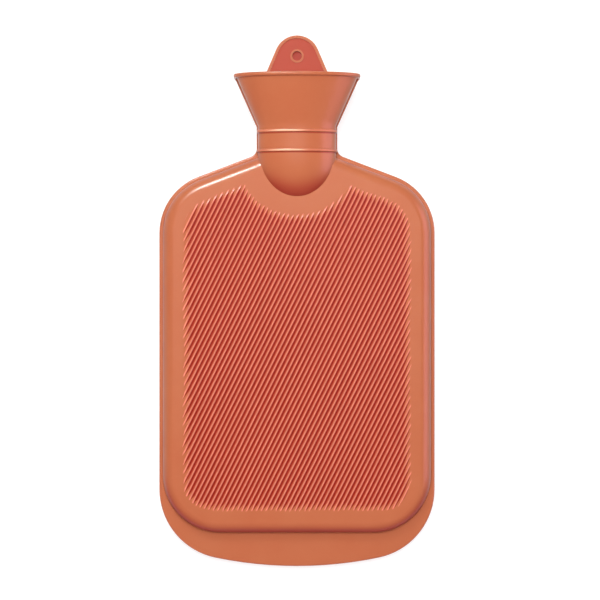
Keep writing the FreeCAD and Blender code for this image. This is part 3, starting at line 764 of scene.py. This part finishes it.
@dataclass(frozen=True)
class MouldedFinish:
    """Rubber or plastic out of a mould: two tones in soft clouds, pale bloom specks, fine grain."""

    name: str
    base: Colour
    cloud: Colour
    bloom: Colour
    # Colour of painted shade: the ribs' valleys, the eyelet's dimple and the lines under the neck's rings.
    painted_shade: Colour = (0.2, 0.02, 0.01)
    # Colour of the painted highlight on the ribs' crests and the rings' tops.
    crest: Colour = (0.6, 0.2, 0.1)
    # Colour of painted shade on the hanging tab's recessed face.
    recess_shade: Colour = (0.4, 0.05, 0.02)
    roughness: float = 0.33
    roughness_spread: float = 0.08
    sheen: float = 0.03
    sheen_roughness: float = 0.45
    sheen_tint: Colour = (1.0, 0.7, 0.75)
    specular: float = 0.18
    coat: float = 0.25
    coat_roughness: float = 0.2
    speck_strength: float = 0.12
    grain_strength: float = 0.5
    grain_height: float = 0.00001
    cloud_scale: float = 28.0
    speck_scale: float = 700.0
    ribs: bpy.types.NodeTree | None = None
    tab: bpy.types.NodeTree | None = None
    rings: bpy.types.NodeTree | None = None
    shade_zones: bpy.types.NodeTree | None = None
    # Shares of painted shade and painted highlight: the dimple's shade, the rings' top highlight, its
    # brightest stretch, the shade under the rings and the front's shade.
    dimple_shade: float = 0.5
    ring_top_highlight: float = 0.35
    ring_highlight_share: float = 0.7
    ring_under_shade: float = 0.7
    shade_strength: float = 0.8
    # Colour of painted shade on the dome's foot, the lower wall and the crease.
    shade_red: Colour = (0.27, 0.022, 0.016)
    # Colour of the brightest painted highlight on the rings' tops.
    ring_highlight: Colour = (0.78, 0.50, 0.32)

    def build(self, skin: bpy.types.NodeTree) -> bpy.types.Material:
        """Makes the material, with painted shade and painted highlights where masks are given.
        The coat thins out where the ribs are and where shade is painted.

        Args:
            skin: the shared group of moulded effects.

        Returns:
            The material, on Object coordinates.
        """
        material, build, place = Nodes.material(self.name)
        effect = build.effect(skin, place, Cloud_Scale=self.cloud_scale, Speck_Scale=self.speck_scale)
        colour = build.mix(effect["Tone"], self.base, self.cloud)
        colour = build.mix(build.times(effect["Specks"], self.speck_strength), colour, self.bloom)
        glazed = self.coat
        if self.ribs:
            ribs = build.effect(self.ribs, place)
            # Painted shade in the ribs' valleys and a painted highlight on their crests.
            colour = build.mix(ribs["Valley"], colour, self.painted_shade)
            colour = build.mix(ribs["Crest"], colour, self.crest)
            glazed = build.times(build.remnant(ribs["Field"]), glazed)
        if self.tab:
            tab = build.effect(self.tab, place)
            # Painted shade on the tab's recessed face and in the eyelet's dimple.
            colour = build.mix(tab["RecessShade"], colour, self.recess_shade)
            colour = build.mix(build.times(tab["Dimple"], self.dimple_shade), colour, self.painted_shade)
        if self.rings:
            rings = build.effect(self.rings, place)
            # Painted highlight on the rings' tops, brightest on a stretch of the front, and painted shade
            # below them.
            colour = build.mix(build.times(rings["Top"], self.ring_top_highlight), colour, self.crest)
            colour = build.mix(build.times(rings["Highlight"], self.ring_highlight_share), colour, self.ring_highlight)
            colour = build.mix(build.times(rings["Under"], self.ring_under_shade), colour, self.painted_shade)
        if self.shade_zones:
            # Painted shade on the dome's foot, the lower wall and the crease.
            shade = build.times(build.effect(self.shade_zones, place)["ShadeMask"], self.shade_strength)
            colour = build.mix(shade, colour, self.shade_red)
            glazed = build.times(build.remnant(shade), glazed)
        shader = build.add("ShaderNodeBsdfPrincipled")
        shader.inputs["Specular IOR Level"].default_value = self.specular
        shader.inputs["Sheen Weight"].default_value = self.sheen
        shader.inputs["Sheen Roughness"].default_value = self.sheen_roughness
        shader.inputs["Sheen Tint"].default_value = (*self.sheen_tint, 1.0)
        shader.inputs["Coat Roughness"].default_value = self.coat_roughness
        build.feed(glazed, shader.inputs["Coat Weight"])
        rough = build.remap(effect["Tone"], To_Min=self.roughness - self.roughness_spread / 2,
                            To_Max=self.roughness + self.roughness_spread / 2)
        build.dress(shader, colour, rough, effect["Grain"], self.grain_strength, self.grain_height)
        return material


@dataclass(frozen=True)
class BrassFinish:
    """Turned brass, a little tarnished in clouds, with a fine grain."""

    name: str = "turned_brass"
    bright: Colour = (0.78, 0.57, 0.25)
    tarnish: Colour = (0.42, 0.27, 0.11)
    roughness: float = 0.3
    speck_roughness: float = 0.5
    grain_strength: float = 0.3
    grain_height: float = 0.00002

    def build(self, skin: bpy.types.NodeTree) -> bpy.types.Material:
        """Makes the material.

        Args:
            skin: the shared group of moulded effects.

        Returns:
            The material, on Object coordinates.
        """
        material, build, place = Nodes.material(self.name)
        effect = build.effect(skin, place)
        colour = build.mix(effect["Tone"], self.bright, self.tarnish)
        rough = build.remap(effect["Specks"], To_Min=self.roughness, To_Max=self.speck_roughness)
        shader = build.add("ShaderNodeBsdfPrincipled")
        shader.inputs["Metallic"].default_value = 1.0
        build.dress(shader, colour, rough, effect["Grain"], self.grain_strength, self.grain_height)
        return material


# The moulding


@dataclass
class Moulding:
    """The one-piece rubber moulding: bag, ribs, neck, funnel, rim and hanging tab."""

    finish: bpy.types.Material
    crease: float = 32.0

    def build(self) -> None:
        """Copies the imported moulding, merges it, shades it and dresses it."""
        mesh = frame["nodes"]["rubber_bottle"].data.copy()
        mesh.name = "rubber_moulding"
        polish(mesh, False, self.crease)
        steady_normals(mesh, self.crease)
        show(mesh, Body.BOTTLE, "rubber_bottle", self.finish)


# The closure


@dataclass
class Thread:
    """A round-crested screw thread on a cylinder about the long axis."""

    low: float
    high: float
    segments: int
    pitch: float = 3.0
    samples: int = 14
    steepness: int = 6
    fade: float = 0.6

    def rows(self, root: float, crest: float, width: float, phase: float) -> np.ndarray:
        """Loops of the thread, each with the radius root + (crest - root) times a smooth hump.

        The hump is 1 / (1 + (distance from one half / half the width)^6) of the turn's fraction,
        (height / pitch - angle / full turn + phase) modulo 1. It fades out at both ends.

        Args:
            root: radius between the turns.
            crest: radius on the turns.
            width: share of the pitch that a turn takes.
            phase: fraction of a turn that the helix is ahead.

        Returns:
            Bottle millimetres, rows by segments by three.
        """
        steps = int((self.high - self.low) / self.pitch * self.samples)
        height = np.linspace(self.low, self.high, steps)[:, None]
        fraction = (height / self.pitch - round_angles(self.segments)[None, :] / TURN + phase) % 1.0
        hump = 1.0 / (1.0 + (np.abs(fraction - 0.5) / (width / 2)) ** self.steepness)
        from_end = np.minimum(height - self.low, self.high - height)
        ramp = np.clip(from_end / (self.fade * self.pitch), 0.0, 1.0)
        radius = root + (crest - root) * hump * ramp * ramp * (3 - 2 * ramp)
        return turned(radius, height, self.segments)


@dataclass(frozen=True)
class Grip:
    """The stopper's winged grip, in millimetres."""

    height: float = 17.0
    half_width: float = 13.5
    half_thickness: float = 3.0
    sink: float = 1.0
    bow: float = 0.08
    waist: float = 0.6
    end_power: int = 8
    side_power: float = 0.7
    face_power: float = 0.6
    straight: float = 0.8
    straight_rows: int = 20
    end_rows: int = 24
    columns: int = 72

    def rows(self, low: float) -> np.ndarray:
        """Superellipse sections stacked upwards, hollowed where the finger and thumb press.

        At height share s the half width is w(s) = W (1 - bow + bow sin(pi s)) e(s), with the end
        rounding e(s) = (1 - s^8)^(1/4). At x across, the half thickness is
        T (waist + (1 - waist) (x / w)^2) e(s). The first row is a point that closes the foot.

        Args:
            low: height of the head's top, into which the grip sinks.

        Returns:
            Bottle millimetres, rows by columns by three.
        """
        rise = 1 - (1 - self.straight) * np.linspace(1, 0, self.end_rows)[1:] ** 2
        share = np.concatenate([np.linspace(0.0, self.straight, self.straight_rows), rise])[:, None]
        end = (1 - share ** self.end_power).clip(0) ** 0.25
        width = self.half_width * (1 - self.bow + self.bow * np.sin(math.pi * share)) * end
        angle = round_angles(self.columns)[None, :]
        x = width * np.sign(np.cos(angle)) * np.abs(np.cos(angle)) ** self.side_power
        hollow = self.waist + (1 - self.waist) * (x / np.maximum(width, MERGE)) ** 2
        round_z = np.sign(np.sin(angle)) * np.abs(np.sin(angle)) ** self.face_power
        z = self.half_thickness * hollow * end * round_z
        y = (low - self.sink) + (self.height + self.sink) * share + 0 * angle
        foot = np.stack([0 * x[:1], y[:1], 0 * x[:1]], -1)
        return np.concatenate([foot, np.stack([x, y, -z], -1)])


@dataclass
class Closure:
    """Screw stopper, its washer and the threaded socket in the neck, in millimetres."""

    lie: Lie
    heights: Heights
    stopper_finish: bpy.types.Material
    washer_finish: bpy.types.Material
    brass: bpy.types.Material
    plug_crest: float = 12.2
    plug_root: float = 11.2
    plug_length: float = 15.0
    plug_turn: float = 0.38
    plug_lead: float = 1.0
    tip_edge: float = 0.6
    shank_radius: float = 10.6
    shank_drop: float = 0.6
    fillet: float = 0.1
    head_radius: float = 16.0
    head_thickness: float = 3.6
    head_low_edge: float = 0.4
    head_top_edge: float = 0.9
    dish_rim: float = 3.2
    dish_foot: float = 3.8
    dish_depth: float = 0.5
    dish_edge: float = 0.5
    washer_inner: float = 10.7
    washer_outer: float = 15.4
    washer_inner_edge: float = 0.2
    washer_outer_edge: float = 0.35
    barrel_radius: float = 14.6
    barrel_edge: float = 0.2
    collar_radius: float = 16.6
    collar_width: float = 2.4
    collar_edge: float = 0.3
    socket_crest: float = 11.5
    socket_root: float = 12.6
    socket_turn: float = 0.42
    socket_lead: float = 0.4
    socket_phase: float = 0.5
    segments: int = 96
    turned_crease: float = 40.0
    soft_crease: float = 50.0

    def build(self) -> None:
        """Makes the four pieces."""
        self.socket()
        self.washer()
        self.stopper_body()
        self.stopper_grip()

    def lathe(self, outline: np.ndarray) -> np.ndarray:
        """Rows of points of an outline turned about the long axis."""
        return turned(outline[:, 0:1], outline[:, 1:2], self.segments)

    def mesh(self, name: str, rows: np.ndarray, ring: bool, sharp: float) -> bpy.types.Mesh:
        """A closed mesh of rows of points, shaded smooth.

        Args:
            name: the mesh's name.
            rows: bottle millimetres, rows by columns by three.
            ring: the last row joins the first, as a washer's does; otherwise both end at a pole.
            sharp: edges that bend by more degrees than this stay sharp.

        Returns:
            The mesh, in table metres.
        """
        mesh = bpy.data.meshes.new(name)
        points = self.lie.to_table(rows.reshape(-1, 3))
        mesh.from_pydata(points.tolist(), [], grid_faces(*rows.shape[:2], ring).tolist())
        polish(mesh, True, sharp)
        return mesh

    def stopper_body(self) -> None:
        """Plug with its thread, shank, and round head: one grid from the plug's end to the head's top."""
        h = self.heights
        low, top = h.socket_top - self.plug_length, h.washer_top + self.head_thickness
        first, last = low + self.plug_lead, h.socket_top - self.plug_lead
        thread = Thread(first, last, self.segments)
        threaded = thread.rows(self.plug_root, self.plug_crest, self.plug_turn, 0.0)
        end = rounded([(0.0, low, 0.0), (self.plug_root, low, self.tip_edge), (self.plug_root, first, 0.0)])
        head = rounded([
            (self.plug_root, last, 0.0),
            (self.shank_radius, h.socket_top - self.shank_drop, self.fillet),
            (self.shank_radius, h.washer_top, self.fillet),
            (self.head_radius, h.washer_top, self.head_low_edge),
            (self.head_radius, top, self.head_top_edge),
            (self.head_radius - self.dish_rim, top, self.dish_edge),
            (self.head_radius - self.dish_foot, top - self.dish_depth, self.dish_edge),
            (0.0, top - self.dish_depth, 0.0),
        ])
        # The thread's own first and last rows stand in for the corners that touch it.
        rows = np.concatenate([self.lathe(end[:-ARC_STEPS]), threaded, self.lathe(head[ARC_STEPS:])])
        mesh = self.mesh("stopper_body", rows, False, self.turned_crease)
        show(mesh, Body.STOPPER, "stopper", self.stopper_finish)

    def stopper_grip(self) -> None:
        """Winged grip that stands on the head."""
        mesh = self.mesh("stopper_grip", Grip().rows(self.heights.grip_low), False, self.soft_crease)
        show(mesh, Body.STOPPER, "stopper", self.stopper_finish)

    def washer(self) -> None:
        """Flat ring with softened edges."""
        h = self.heights
        outline = rounded([
            (self.washer_inner, h.socket_top, self.washer_inner_edge),
            (self.washer_outer, h.socket_top, self.washer_outer_edge),
            (self.washer_outer, h.washer_top, self.washer_outer_edge),
            (self.washer_inner, h.washer_top, self.washer_inner_edge),
        ])
        mesh = self.mesh("washer_ring", self.lathe(outline), True, self.soft_crease)
        show(mesh, Body.WASHER, "sealing_washer", self.washer_finish)

    def socket(self) -> None:
        """Ferrule: the outside's outline and the threaded bore joined into one closed ring."""
        h = self.heights
        first, second = h.socket_low + self.collar_width, h.socket_top - self.collar_width
        outside = rounded([
            (self.socket_root, h.socket_top, self.collar_edge),
            (self.collar_radius, h.socket_top, self.collar_edge),
            (self.collar_radius, second, self.collar_edge),
            (self.barrel_radius, second, self.barrel_edge),
            (self.barrel_radius, first, self.barrel_edge),
            (self.collar_radius, first, self.collar_edge),
            (self.collar_radius, h.socket_low, self.collar_edge),
            (self.socket_root, h.socket_low, self.collar_edge),
        ])
        # Half of the first corner and half of the last belong to the bore.
        outside = outside[ARC_STEPS // 2:-(ARC_STEPS // 2)]
        thread = Thread(h.socket_low + self.socket_lead, h.socket_top - self.socket_lead, self.segments)
        inside = thread.rows(self.socket_root, self.socket_crest, self.socket_turn, self.socket_phase)
        rows = np.concatenate([inside, self.lathe(outside)])
        mesh = self.mesh("socket_ferrule", rows, True, self.turned_crease)
        show(mesh, Body.BOTTLE, "threaded_socket", self.brass)


# The studio


@dataclass(frozen=True)
class Lamp:
    """A square soft light: its place in bottle millimetres, its side, its watts and its colour.

    Without gloss it doesn't show in the rubber's sheen; without diffuse it shows there alone.
    """

    name: str
    place: Place
    side: float
    power: float
    tint: Colour
    gloss: bool = True
    diffuse: bool = True


LAMPS = (
    Lamp("key", (-300.0, 960.0, 900.0), 260.0, 4.0, (1.0, 0.98, 0.95)),
    Lamp("glint", (-300.0, 960.0, 900.0), 260.0, 24.0, (1.0, 0.99, 0.97), diffuse=False),
    Lamp("overhead", (0.0, 500.0, 1980.0), 900.0, 47.0, (1.0, 0.98, 1.0), gloss=False),
    Lamp("high_side", (-250.0, 1450.0, 1150.0), 1300.0, 6.5, (1.0, 0.88, 0.6)),
    Lamp("right_side", (1000.0, 300.0, 450.0), 900.0, 11.0, (1.0, 0.55, 0.82), diffuse=False),
    Lamp("left_side", (-1000.0, 250.0, 150.0), 500.0, 0.5, (1.0, 0.9, 0.88), diffuse=False),
    Lamp("low_fill", (0.0, -900.0, 450.0), 900.0, 3.0, (1.0, 0.4, 0.5), gloss=False),
)


@dataclass
class Studio:
    """Pale floor, a pale wall round it, soft lights and the camera over the bottle.

    The aim and the camera's distance are in bottle millimetres, the floor and the wall in metres.
    """

    lie: Lie
    lamps: tuple[Lamp, ...] = LAMPS
    aim: Place = (2.1, 186.2, 0.0)
    distance: float = 1400.0
    lens: float = 120.0
    sensor: float = 36.0
    sight: float = 20.0
    floor_half: float = 3.0
    floor_drop: float = 0.0001
    floor_tone: float = 0.35
    floor_glow: float = 0.7
    wall_height: float = 2.5
    wall_glow: float = 0.9
    wall_segments: int = 64
    matt: float = 0.9
    sky_glow: float = 0.16
    sky_tint: Colour = (1.0, 0.75, 0.8)

    def build(self) -> None:
        """Makes all of it."""
        self.floor()
        self.wall()
        self.camera()
        for lamp in self.lamps:
            self.hang(lamp)
        self.sky()

    def floor(self) -> None:
        """A wide pale plane just under the bottle."""
        half = self.floor_half
        corners = np.array([(-half, -half), (half, -half), (half, half), (-half, half)])
        points = np.column_stack([corners, np.full(4, -self.floor_drop)])
        self.stage("studio_floor", points, np.array([(0, 1, 2, 3)]), self.floor_tone, self.floor_glow)

    def wall(self) -> None:
        """A pale round wall at the floor's edge: two loops of points, one above the other.

        It is a plain backdrop, so it neither lights the bottle nor shows in its sheen.
        """
        angle = round_angles(self.wall_segments)
        foot = self.floor_half * np.column_stack([np.cos(angle), np.sin(angle), 0 * angle])
        points = np.concatenate([foot, foot + np.array([0.0, 0.0, self.wall_height])])
        faces = grid_faces(2, self.wall_segments, False)
        wall = self.stage("studio_wall", points, faces, 0.0, self.wall_glow)
        wall.visible_glossy = wall.visible_diffuse = wall.visible_shadow = False

    def stage(self, name: str, points: np.ndarray, faces: np.ndarray, tone: float,
              glow: float) -> bpy.types.Object:
        """A plain matt surface of the studio that also glows a little.

        Args:
            name: its name.
            points: table metres.
            faces: point numbers of each face.
            tone: its grey.
            glow: its own light.

        Returns:
            The new object.
        """
        mesh = bpy.data.meshes.new(name)
        mesh.from_pydata(points.tolist(), [], faces.tolist())
        surface = bpy.data.objects.new(name, mesh)
        bpy.context.scene.collection.objects.link(surface)
        material = bpy.data.materials.new(name + "_pale")
        material.use_nodes = True
        shader = material.node_tree.nodes["Principled BSDF"]
        shader.inputs["Base Color"].default_value = (tone, tone, tone, 1.0)
        shader.inputs["Roughness"].default_value = self.matt
        shader.inputs["Emission Color"].default_value = (1.0, 1.0, 1.0, 1.0)
        shader.inputs["Emission Strength"].default_value = glow
        mesh.materials.append(material)
        return surface

    def camera(self) -> None:
        """Looks straight down the bottle's own Z from the photograph's distance."""
        lens = bpy.data.cameras.new("camera")
        lens.lens = self.lens
        lens.sensor_width = self.sensor
        lens.clip_end = self.sight
        camera = bpy.data.objects.new("camera", lens)
        eye = np.array(self.aim) + np.array([0.0, 0.0, self.distance])
        camera.location = self.lie.to_table(eye[None, :])[0]
        camera.rotation_euler = (self.lie.tilt, 0.0, 0.0)
        bpy.context.scene.collection.objects.link(camera)
        bpy.context.scene.camera = camera

    def hang(self, lamp: Lamp) -> None:
        """Hangs a light that faces the bottle's middle.

        Args:
            lamp: the light.
        """
        light = bpy.data.lights.new(lamp.name, "AREA")
        light.size = lamp.side * MM
        light.energy = lamp.power
        light.color = lamp.tint
        hung = bpy.data.objects.new(lamp.name, light)
        hung.visible_glossy = lamp.gloss
        hung.visible_diffuse = lamp.diffuse
        spot = Vector(self.lie.to_table(np.array([lamp.place]))[0])
        target = Vector(self.lie.to_table(np.array([self.aim]))[0])
        hung.location = spot
        hung.rotation_euler = (target - spot).to_track_quat("-Z", "Y").to_euler()
        bpy.context.scene.collection.objects.link(hung)

    def sky(self) -> None:
        """A faint even light from all round."""
        world = bpy.data.worlds.new("studio_sky")
        world.use_nodes = True
        background = world.node_tree.nodes["Background"]
        background.inputs["Color"].default_value = (*self.sky_tint, 1.0)
        background.inputs["Strength"].default_value = self.sky_glow
        bpy.context.scene.world = world
        bpy.context.scene.view_settings.view_transform = "Standard"


def main() -> None:
    """Builds the bottle's pieces in order, then the studio."""
    logging.basicConfig(level=logging.INFO, format="%(name)s: %(message)s")
    heights = Heights()
    lie = Lie.from_hinge(frame["joints"], heights.socket_top)
    skin = moulded_skin_group()
    # Its colours after bloom are painted shade, a painted highlight and painted shade for the tab's recess;
    # the masks below lay them on.
    rubber = MouldedFinish(
        "bottle_rubber_skin", base=(0.392, 0.121, 0.053), cloud=(0.378, 0.107, 0.045),
        bloom=(0.50, 0.18, 0.09), painted_shade=(0.23, 0.010, 0.005), crest=(0.66, 0.215, 0.145),
        recess_shade=(0.33, 0.042, 0.019), ribs=RibbedField().group(lie), tab=TabPanel().group(lie),
        rings=NeckRings().group(lie), shade_zones=ShadeZones().group(lie),
    ).build(skin)
    stopper = MouldedFinish(
        "stopper_plastic_skin", base=(0.26, 0.045, 0.025), cloud=(0.22, 0.038, 0.022),
        bloom=(0.4, 0.13, 0.09),
    ).build(skin)
    washer = MouldedFinish(
        "washer_rubber_skin", base=(0.2, 0.04, 0.03), cloud=(0.16, 0.033, 0.025),
        bloom=(0.35, 0.15, 0.12), roughness=0.6, coat=0.0,
    ).build(skin)
    brass = BrassFinish().build(skin)
    Moulding(rubber).build()
    Closure(lie, heights, stopper, washer, brass).build()
    Studio(lie).build()


if __name__ == "__main__":
    main()
